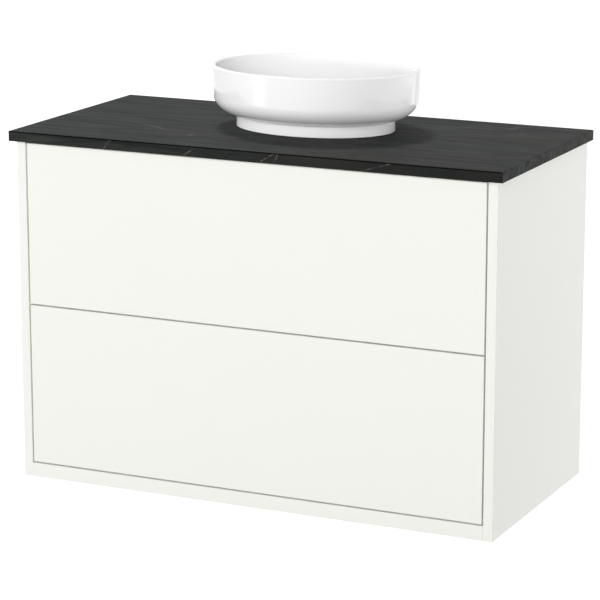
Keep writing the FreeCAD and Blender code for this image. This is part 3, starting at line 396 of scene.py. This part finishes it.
def laminate_finish(finishes):
    """Black marble-effect laminate: streaks, brown clouds and broken thin veins; painted sheen makes the
    top and most of all the ends lighter than the front edge, painted shade darkens the front edge along
    X, and a painted shadow line runs under the top's front edge.
    """
    finish = Finish("dark_laminate")
    streak_space = finish.stretched((7.0, 55.0, 55.0))
    streaks = finish.noise(1.0, detail=6.0, roughness=0.6, distortion=0.3, vector=streak_space)
    streak = finish.spread(streaks, (0.25, 0.75))
    at_edge = finish.spread(finish.facing("Z"), UP_FACING, (1.0, 0.0))
    to_front = finish.spread(finish.facing("Y"), FRONT_FACING, (1.0, 0.0))
    at_front = finish.math("MULTIPLY", at_edge, to_front)
    # Painted shade: the front edge's ground darkens from its left end to its right end along X
    front_shade_share = finish.spread(finish.along("X"), FRONT_SHADE_REACH)
    front = finish.mix(front_shade_share, finishes.front_band_lit_end, finishes.edge_deep_and_shade)
    # Painted sheen and shade: the ground and the deep streaks are chosen by face, lighter on the top and
    # the ends and darker on the front edge
    ground = finish.mix(at_edge, finishes.laminate, finish.mix(to_front, finishes.end_band_painted_sheen, front))
    deep_by_face_painted_shade = finish.mix(at_front, finishes.laminate_deep, finishes.edge_deep_and_shade)
    cloud_space = finish.stretched((2.6, 7.0, 7.0))
    clouds = finish.noise(1.0, detail=3.0, distortion=0.6, vector=cloud_space)
    cloud = finish.spread(clouds, (0.54, 0.78), (0.0, 0.35))
    clouded = finish.mix(cloud, finish.mix(streak, deep_by_face_painted_shade, ground), finishes.laminate_brown)
    veins = top_vein_lines(
        finish,
        place=(0.3, 0.2, 0.0),
        scale=(1.6, 11.0, 11.0),
        turn=(0.0, 0.0, 0.09),
        width=0.012,
        breaks=5.0,
    )
    top_vein = finish.math("MULTIPLY", veins, finish.spread(finish.facing("Z"), UP_FACING, (0.0, 0.42)))
    front_vein = finish.math("MULTIPLY", front_vein_lines(finish), at_front)
    veined = finish.mix(finish.math("MAXIMUM", top_vein, front_vein), clouded, finishes.vein)
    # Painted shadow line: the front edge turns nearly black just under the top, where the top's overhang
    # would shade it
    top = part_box("countertop")[1].z
    near_top_painted_shadow = finish.spread(finish.along("Z"), [top - depth for depth in ARRIS_SHADOW_DEPTHS], (0.0, 0.85))
    painted_arris_shadow = finish.math("MULTIPLY", near_top_painted_shadow, to_front)
    finish.surface(Base_Color=finish.mix(painted_arris_shadow, veined, (0.0, 0.0, 0.0)), Specular_IOR_Level=0.006)
    finish.surface(Roughness=finish.spread(streak, (0.0, 1.0), (0.58, 0.5)))
    relief = finish.math("ADD", streak, finish.noise(1500.0, detail=2.0))
    finish.bump(relief, strength=0.05, distance=0.0003)
    return finish.material


def glaze_finish(finishes):
    """White sanitary glaze: glossy, with a barely wavy skin."""
    finish = Finish("ceramic")
    pooled = finish.noise(12.0, detail=2.0)
    tone = finish.mix(pooled, finishes.glaze, toned(finishes.glaze, 0.985))
    finish.surface(Base_Color=tone, IOR=1.52)
    finish.surface(Roughness=finish.spread(finish.noise(30.0, detail=2.0), NOISE_MIDDLE, (0.05, 0.09)))
    finish.bump(finish.noise(14.0, detail=1.0), strength=0.05, distance=0.002)
    return finish.material


def zinc_finish(finishes):
    """Zinc-plated sheet steel: dull patches, drawn lines and a soft shine."""
    finish = Finish("zinc_steel")
    patch = finish.spread(finish.noise(120.0, detail=5.0, roughness=0.6), NOISE_MIDDLE)
    drawn = finish.noise(1.0, roughness=0.6, vector=finish.stretched((900.0, 30.0, 900.0)))
    finish.surface(Base_Color=finish.mix(patch, finishes.zinc, finishes.zinc_dull), Metallic=1.0)
    finish.surface(Roughness=finish.spread(finish.math("ADD", patch, drawn), (0.4, 1.4), (0.26, 0.42)))
    finish.bump(drawn, strength=0.08, distance=0.0002)
    return finish.material


def chrome_finish(finishes):
    """Polished plating with fine wipe marks."""
    finish = Finish("chrome")
    wiped = finish.noise(1.0, detail=3.0, roughness=0.6, vector=finish.stretched((300.0, 80.0, 300.0)))
    dimmer = toned(finishes.chrome, 0.94)
    finish.surface(Base_Color=finish.mix(wiped, finishes.chrome, dimmer), Metallic=1.0)
    finish.surface(Roughness=finish.spread(wiped, NOISE_MIDDLE, (0.05, 0.11)))
    return finish.material


def moulded_finish(name, colour, fine):
    """Moulded plastic: an even tone with slight flow marks and a fine spark-eroded skin."""
    finish = Finish(name)
    flow = finish.noise(18.0, detail=3.0, distortion=0.6)
    finish.surface(Base_Color=finish.mix(flow, colour, toned(colour, 0.95)))
    finish.surface(Roughness=finish.spread(flow, NOISE_MIDDLE, (0.36, 0.46)))
    finish.bump(finish.noise(fine, detail=2.0), strength=0.08, distance=0.0003)
    return finish.material


def beech_finish(finishes):
    """Beech with short flecks along the dowels."""
    finish = Finish("beech")
    grain = finish.noise(1.0, roughness=0.6, vector=finish.stretched((60.0, 600.0, 600.0)))
    tone = finish.mix(grain, finishes.beech, toned(finishes.beech, 0.72))
    finish.surface(Base_Color=tone, Roughness=0.6)
    finish.bump(grain, strength=0.1, distance=0.0003)
    return finish.material


def named_material(name):
    """The unit's material of that name, made on first use."""
    known = bpy.data.materials.get(name)
    if known and known.get("vanity"):
        return known
    finishes = bpy.context.scene.vanity_finishes
    makers = {
        "white_foil": lambda: foil_finish("white_foil", finishes, True),
        "white_foil_faced": lambda: foil_finish("white_foil_faced", finishes, False),
        "drawer_board": lambda: melamine_finish(finishes),
        "dark_laminate": lambda: laminate_finish(finishes),
        "ceramic": lambda: glaze_finish(finishes),
        "zinc_steel": lambda: zinc_finish(finishes),
        "chrome": lambda: chrome_finish(finishes),
        "white_plastic": lambda: moulded_finish("white_plastic", finishes.pipe, 700.0),
        "grey_plastic": lambda: moulded_finish("grey_plastic", finishes.latch, 900.0),
        "seal_rubber": lambda: moulded_finish("seal_rubber", finishes.rubber, 500.0),
        "white_sealant": lambda: moulded_finish("white_sealant", finishes.sealant, 300.0),
        "beech": lambda: beech_finish(finishes),
    }
    if known:
        known.name = f"packed_{name}"
    made = makers[name]()
    made["vanity"] = True
    return made


def dress(*nodes, material=None):
    """Gives CAD nodes the material of their slots, or another one by name."""
    slots = {row["node"]: row["material_slot"] for row in frame["record"]["subparts"]}
    for name in nodes:
        mesh = frame["nodes"][name].data
        mesh.materials.clear()
        mesh.materials.append(named_material(material or slots[name]))


def grid_quads(rows, columns, closed_rows):
    """Four-cornered faces of a grid of points that joins round its columns, and its rows if asked."""
    index = np.arange(rows * columns).reshape(rows, columns)
    if closed_rows:
        index = np.vstack((index, index[:1]))
    index = np.hstack((index, index[:, :1]))
    corners = (index[:-1, :-1], index[:-1, 1:], index[1:, 1:], index[1:, :-1])
    return np.stack(corners, axis=-1).reshape(-1, 4)


def surface_piece(name, points, slot, body, *nodes, closed_rows=True):
    """Piece from a grid of points that closes round its columns; it stands for CAD nodes."""
    rows, columns = points.shape[:2]
    quads = grid_quads(rows, columns, closed_rows)
    mesh = bpy.data.meshes.new(name)
    mesh.from_pydata(points.reshape(-1, 3).tolist(), [], quads.tolist())
    work = bmesh.new()
    work.from_mesh(mesh)
    bmesh.ops.remove_doubles(work, verts=work.verts, dist=MERGE_DISTANCE)
    bmesh.ops.recalc_face_normals(work, faces=work.faces)
    work.to_mesh(mesh)
    work.free()
    mesh.shade_smooth()
    mesh.set_sharp_from_angle(angle=SHARP_ANGLE)
    mesh.materials.append(named_material(slot))
    piece = bpy.data.objects.new(name, mesh)
    bpy.context.scene.collection.objects.link(piece)
    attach(piece, body)
    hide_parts(*nodes)


def rounded_outline(corners, radii):
    """Closed outline whose corners are arcs: each arc is tangent to the two runs beside its corner."""
    least_length, least_sweep = 1e-9, 1e-6
    corners, radii = np.asarray(corners, float), np.asarray(radii, float)[:, None]
    before = np.roll(corners, 1, axis=0) - corners
    after = np.roll(corners, -1, axis=0) - corners
    before /= np.linalg.norm(before, axis=1, keepdims=True)
    after /= np.linalg.norm(after, axis=1, keepdims=True)
    half = np.arccos(np.clip((before * after).sum(1, keepdims=True), -1, 1)) / 2
    bisector = before + after
    bisector /= np.maximum(np.linalg.norm(bisector, axis=1, keepdims=True), least_length)
    centre = corners + bisector * radii / np.sin(half)
    start = corners + before * radii / np.tan(half) - centre
    end = corners + after * radii / np.tan(half) - centre
    sweep = np.maximum(math.pi - 2 * half, least_sweep)[:, None]
    share = np.linspace(0, 1, CORNER_STEPS + 1)[None, :, None]
    leaving = np.sin((1 - share) * sweep) * start[:, None]
    arriving = np.sin(share * sweep) * end[:, None]
    arc = (leaving + arriving) / np.sin(sweep)
    return (centre[:, None] + arc).reshape(-1, 2)


def quarter_turn(start, low, high):
    """Points (inset, height) of an elliptic arc that leaves low at a slope and ends upright at high."""
    angle = np.linspace(start, math.pi / 2, TURN_STEPS)
    across = (np.sin(angle) - math.sin(start)) / (1 - math.sin(start))
    rise = 1 - np.cos(angle) / math.cos(start)
    inset = low[0] + (high[0] - low[0]) * across
    return np.stack((inset, low[1] + (high[1] - low[1]) * rise), axis=1)


def basin_section(sizes, height, half_length):
    """Closed outline (inset from the rim, height) from the foot, over the rim, to the waste and back."""
    s = sizes
    seat_inset = half_length - s.seat_radius
    hole_inset = half_length - s.hole_radius
    seat_floor = s.floor_height - s.seat_depth
    under = s.floor_height - s.floor_thickness
    pocket_inset = s.foot_inset + s.foot_wall
    outer_turn = quarter_turn(s.turn_start, (s.foot_inset, s.foot_height), (s.wall_taper, s.wall_foot))
    floor_edge = (s.floor_inset, s.floor_height + s.floor_rise)
    inner_turn = quarter_turn(s.turn_start, floor_edge, (s.rim_width + s.wall_taper, s.inner_foot))[::-1]
    edge = MILLIMETRE
    plain = np.zeros(len(outer_turn) - 1)
    runs = [
        ([(s.foot_inset - s.foot_flare, 0)], [edge]),
        (outer_turn[:1], [1.2 * edge]),
        (outer_turn[1:], plain),
        ([(0, height), (s.rim_width, height)], [s.rim_round, s.rim_round]),
        (inner_turn[:-1], plain),
        (inner_turn[-1:], [0.0]),
        ([(seat_inset, s.floor_height), (seat_inset, seat_floor)], [edge, 0.3 * edge]),
        ([(hole_inset, seat_floor), (hole_inset, under)], [edge, 0.5 * edge]),
        ([(pocket_inset, under), (pocket_inset, 0)], [2 * edge, edge]),
    ]
    corners = np.vstack([np.asarray(points, float) for points, radii in runs])
    return rounded_outline(corners, np.concatenate([radii for points, radii in runs]))


class VANITY_OT_basin(bpy.types.Operator):
    """Makes the oval basin as one closed surface: its section carried round an oval"""

    bl_idname = "vanity.basin"
    bl_label = "Basin"

    def execute(self, context):
        """Half length and half width follow the inset; towards the waste the oval becomes a circle."""
        sizes = context.scene.vanity_basin
        low, high = (np.array(corner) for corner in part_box("basin"))
        middle = (low + high) / 2
        half_length, half_width = ((high - low) / 2)[:2]
        section = basin_section(sizes, high[2] - low[2], half_length)
        inset, rise = section.T
        along = half_length - inset
        knots = (0, sizes.floor_inset, half_length - sizes.seat_radius, half_length)
        widths = (half_width, half_width - sizes.floor_inset, sizes.seat_radius, 0)
        across = np.interp(inset, knots, widths)
        angle = np.linspace(0, 2 * math.pi, BASIN_STEPS, endpoint=False)
        points = np.stack(
            (
                middle[0] + along[:, None] * np.cos(angle),
                middle[1] + across[:, None] * np.sin(angle),
                low[2] + np.repeat(rise[:, None], len(angle), axis=1),
            ),
            axis=-1,
        )
        surface_piece("oval_basin", points, "ceramic", "cabinet", "basin")
        dress("basin_sealant")
        return {"FINISHED"}


class VANITY_OT_waste(bpy.types.Operator):
    """Makes the domed plug and finishes the waste's body, seals and nut"""

    bl_idname = "vanity.waste"
    bl_label = "Waste and plug"

    def execute(self, context):
        """The plug is a half outline of dome, rim and stem, turned about the waste's axis."""
        low, high = (np.array(corner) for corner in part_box("waste_plug"))
        middle = (low + high) / 2
        radius = (high[0] - low[0]) / 2
        stem, edge, crown, ease = 0.005, 0.0025, 0.0035, 0.0006
        share = np.sin(np.linspace(0, math.pi / 2, DOME_STEPS))
        dome = np.stack((share * (radius - MILLIMETRE), high[2] - crown * share**2), axis=1)
        rim_low = high[2] - crown - edge
        side = [(radius, rim_low + edge - ease), (radius, rim_low + ease), (radius - ease, rim_low)]
        shaft = [(stem, rim_low), (stem, low[2] + ease), (stem - ease, low[2]), (0, low[2])]
        outline = np.vstack((dome, side, shaft))
        angle = np.linspace(0, 2 * math.pi, PLUG_STEPS, endpoint=False)
        points = np.stack(
            (
                middle[0] + outline[:, :1] * np.cos(angle),
                middle[1] + outline[:, :1] * np.sin(angle),
                np.repeat(outline[:, 1:], len(angle), axis=1),
            ),
            axis=-1,
        )
        surface_piece("domed_plug", points, "chrome", "plug", "waste_plug", closed_rows=False)
        dress("waste_body", "waste_upper_seal", "waste_lower_seal", "waste_nut")
        return {"FINISHED"}


class VANITY_OT_countertop(bpy.types.Operator):
    """Finishes the countertop and its screws"""

    bl_idname = "vanity.countertop"
    bl_label = "Countertop"

    def execute(self, context):
        """The board keeps its shape and gets its laminate."""
        dress("countertop", "countertop_screws")
        return {"FINISHED"}


class VANITY_OT_cabinet(bpy.types.Operator):
    """Finishes the carcass boards, their joints and the wall brackets"""

    bl_idname = "vanity.cabinet"
    bl_label = "Cabinet"

    def execute(self, context):
        """Boards get their foil, fittings their plating."""
        dress("left_side_panel", "right_side_panel", "bottom_panel", "bottom_front_rail")
        dress("front_top_rail", "rear_top_rail")
        dress("back_rail", material="white_foil_faced")
        dress("cam_discs", "cam_bolts", "dowels", "wall_brackets", "bracket_screws")
        return {"FINISHED"}


class VANITY_OT_drawers(bpy.types.Operator):
    """Finishes both drawers with their fronts, boxes, angles and screws"""

    bl_idname = "vanity.drawers"
    bl_label = "Drawers"

    def execute(self, context):
        """Fronts get foil, boxes melamine and fittings zinc."""
        parts = ("front", "left_side", "right_side", "back", "bottom", "angles", "screws")
        dress(*[f"{drawer}_drawer_{part}" for drawer in DRAWERS for part in parts])
        return {"FINISHED"}


class VANITY_OT_runners(bpy.types.Operator):
    """Finishes the telescopic runners and the push latches"""

    bl_idname = "vanity.runners"
    bl_label = "Runners and latches"

    def execute(self, context):
        """Runner members get zinc, latches grey plastic."""
        members = ("outer", "middle", "inner")
        pairs = [f"{drawer}_{hand}" for drawer in DRAWERS for hand in HANDS]
        dress(*[f"{pair}_runner_{member}" for pair in pairs for member in members])
        dress(*[f"{pair}_latch_plunger" for pair in pairs])
        dress("runner_screws", "latch_housings")
        return {"FINISHED"}


class VANITY_OT_trap(bpy.types.Operator):
    """Finishes the bottle trap behind the drawers"""

    bl_idname = "vanity.trap"
    bl_label = "Trap"

    def execute(self, context):
        """All trap pieces get white moulded plastic."""
        dress("trap_inlet_pipe", "trap_body", "trap_cleaning_cap", "trap_outlet_pipe", "trap_union_nuts")
        return {"FINISHED"}


def area_light(name, bearing, size, power, distance):
    """Rectangular lamp that faces the unit's middle from a bearing (azimuth and elevation in degrees)."""
    azimuth, elevation = (math.radians(angle) for angle in bearing)
    low, high = (Vector(corner) for corner in CAD_BOX)
    level = math.cos(elevation)
    away = Vector((math.sin(azimuth) * level, -math.cos(azimuth) * level, math.sin(elevation)))
    lamp = bpy.data.lights.new(name, "AREA")
    lamp.shape = "RECTANGLE"
    lamp.size, lamp.size_y = size
    lamp.energy = power
    made = bpy.data.objects.new(name, lamp)
    made.location = (low + high) / 2 + distance * away
    made.rotation_euler = (-away).to_track_quat("-Z", "Y").to_euler()
    made.visible_camera = False
    made.visible_glossy = False
    bpy.context.scene.collection.objects.link(made)
    return made


def seen_directly(tree):
    """1 for camera rays and for mirrored or refracted ones, 0 for rays that only carry light."""
    path = tree.nodes.new("ShaderNodeLightPath")
    total = path.outputs["Is Camera Ray"]
    for name in ("Is Glossy Ray", "Is Transmission Ray"):
        largest = tree.nodes.new("ShaderNodeMath")
        largest.operation = "MAXIMUM"
        tree.links.new(total, largest.inputs[0])
        tree.links.new(path.outputs[name], largest.inputs[1])
        total = largest.outputs[0]
    return total


def make_world(strength):
    """White surroundings to the eye, even soft light on the object."""
    world = bpy.data.worlds.new("studio")
    world.use_nodes = True
    bpy.context.scene.world = world
    tree = world.node_tree
    background = tree.nodes["Background"]
    background.inputs["Color"].default_value = (1.0, 1.0, 1.0, 1.0)
    level = tree.nodes.new("ShaderNodeMapRange")
    level.inputs["To Min"].default_value = strength
    level.inputs["To Max"].default_value = 1.0
    tree.links.new(seen_directly(tree), level.inputs["Value"])
    tree.links.new(level.outputs["Result"], background.inputs["Strength"])


def make_floor(height):
    """Floor that looks nearly white from above, takes the object's shadow and is clear from below."""
    mesh = bpy.data.meshes.new("floor")
    outline = ((-1, -1), (1, -1), (1, 1), (-1, 1))
    corners = [(FLOOR_REACH * x, FLOOR_REACH * y, height) for x, y in outline]
    mesh.from_pydata(corners, [], [(0, 1, 2, 3)])
    material = bpy.data.materials.new("floor")
    material.use_nodes = True
    tree = material.node_tree
    shader = tree.nodes["Principled BSDF"]
    shader.inputs["Base Color"].default_value = (FLOOR_TONE, FLOOR_TONE, FLOOR_TONE, 1.0)
    shader.inputs["Roughness"].default_value = FLOOR_ROUGHNESS
    shader.inputs["Emission Color"].default_value = (1.0, 1.0, 1.0, 1.0)
    glow = tree.nodes.new("ShaderNodeMath")
    glow.operation = "MULTIPLY"
    glow.inputs[1].default_value = FLOOR_GLOW
    tree.links.new(seen_directly(tree), glow.inputs[0])
    tree.links.new(glow.outputs[0], shader.inputs["Emission Strength"])
    from_below = tree.nodes.new("ShaderNodeMixShader")
    tree.links.new(tree.nodes.new("ShaderNodeNewGeometry").outputs["Backfacing"], from_below.inputs[0])
    tree.links.new(shader.outputs["BSDF"], from_below.inputs[1])
    tree.links.new(tree.nodes.new("ShaderNodeBsdfTransparent").outputs["BSDF"], from_below.inputs[2])
    tree.links.new(from_below.outputs["Shader"], tree.nodes["Material Output"].inputs["Surface"])
    mesh.materials.append(material)
    floor = bpy.data.objects.new("floor", mesh)
    bpy.context.scene.collection.objects.link(floor)


class VANITY_OT_stage(bpy.types.Operator):
    """Sets the floor, the light and the camera"""

    bl_idname = "vanity.stage"
    bl_label = "Stage"

    def execute(self, context):
        """Even light, lamps all round, two strips that the glaze mirrors, and the camera."""
        stage = context.scene.vanity_stage
        make_world(stage.ambient)
        make_floor(CAD_BOX[0][2] - stage.floor_drop)
        for name, (bearing, size) in LAMPS.items():
            area_light(name, bearing, size, getattr(stage, f"{name}_power"), LAMP_DISTANCE)
        for name, (bearing, size) in STRIPS.items():
            strip = area_light(name, bearing, size, getattr(stage, f"{name}_power"), STRIP_DISTANCE)
            strip.visible_glossy = True
        lens = bpy.data.cameras.new("camera")
        lens.lens = stage.camera_lens
        lens.clip_end = CAMERA_REACH
        camera = bpy.data.objects.new("camera", lens)
        camera.location = stage.camera_place
        camera.rotation_euler = (math.pi / 2 - stage.camera_pitch, 0.0, stage.camera_yaw)
        context.scene.collection.objects.link(camera)
        context.scene.camera = camera
        context.scene.view_settings.view_transform = "Standard"
        return {"FINISHED"}


class VANITY_PT_sidebar(bpy.types.Panel):
    """Lists the unit's pieces, its finishes and its sizes"""

    bl_idname = "VANITY_PT_sidebar"
    bl_label = "Vanity unit"
    bl_space_type = "VIEW_3D"
    bl_region_type = "UI"
    bl_category = "Vanity"

    def draw(self, context):
        """One button for each piece, then the values that can be changed."""
        for operator in OPERATORS:
            self.layout.operator(operator.bl_idname)
        for group_name in GROUPS:
            group = getattr(context.scene, group_name)
            column = self.layout.column()
            for name in group.__annotations__:
                column.prop(group, name)


GROUPS = {
    "vanity_finishes": VanityFinishes,
    "vanity_basin": VanityBasinSizes,
    "vanity_stage": VanityStage,
}
OPERATORS = (
    VANITY_OT_cabinet,
    VANITY_OT_countertop,
    VANITY_OT_basin,
    VANITY_OT_waste,
    VANITY_OT_trap,
    VANITY_OT_drawers,
    VANITY_OT_runners,
    VANITY_OT_stage,
)
CLASSES = (*GROUPS.values(), *OPERATORS, VANITY_PT_sidebar)


def register():
    """Adds the classes and the scene's values."""
    for made in CLASSES:
        bpy.utils.register_class(made)
    for name, group in GROUPS.items():
        setattr(bpy.types.Scene, name, PointerProperty(type=group))


def unregister():
    """Takes the values and the classes away again."""
    for name in GROUPS:
        delattr(bpy.types.Scene, name)
    for made in reversed(CLASSES):
        bpy.utils.unregister_class(made)


def main():
    """Builds the whole unit."""
    register()
    bpy.ops.vanity.cabinet()
    bpy.ops.vanity.countertop()
    bpy.ops.vanity.basin()
    bpy.ops.vanity.waste()
    bpy.ops.vanity.trap()
    bpy.ops.vanity.drawers()
    bpy.ops.vanity.runners()
    bpy.ops.vanity.stage()


if __name__ == "__main__":
    main()
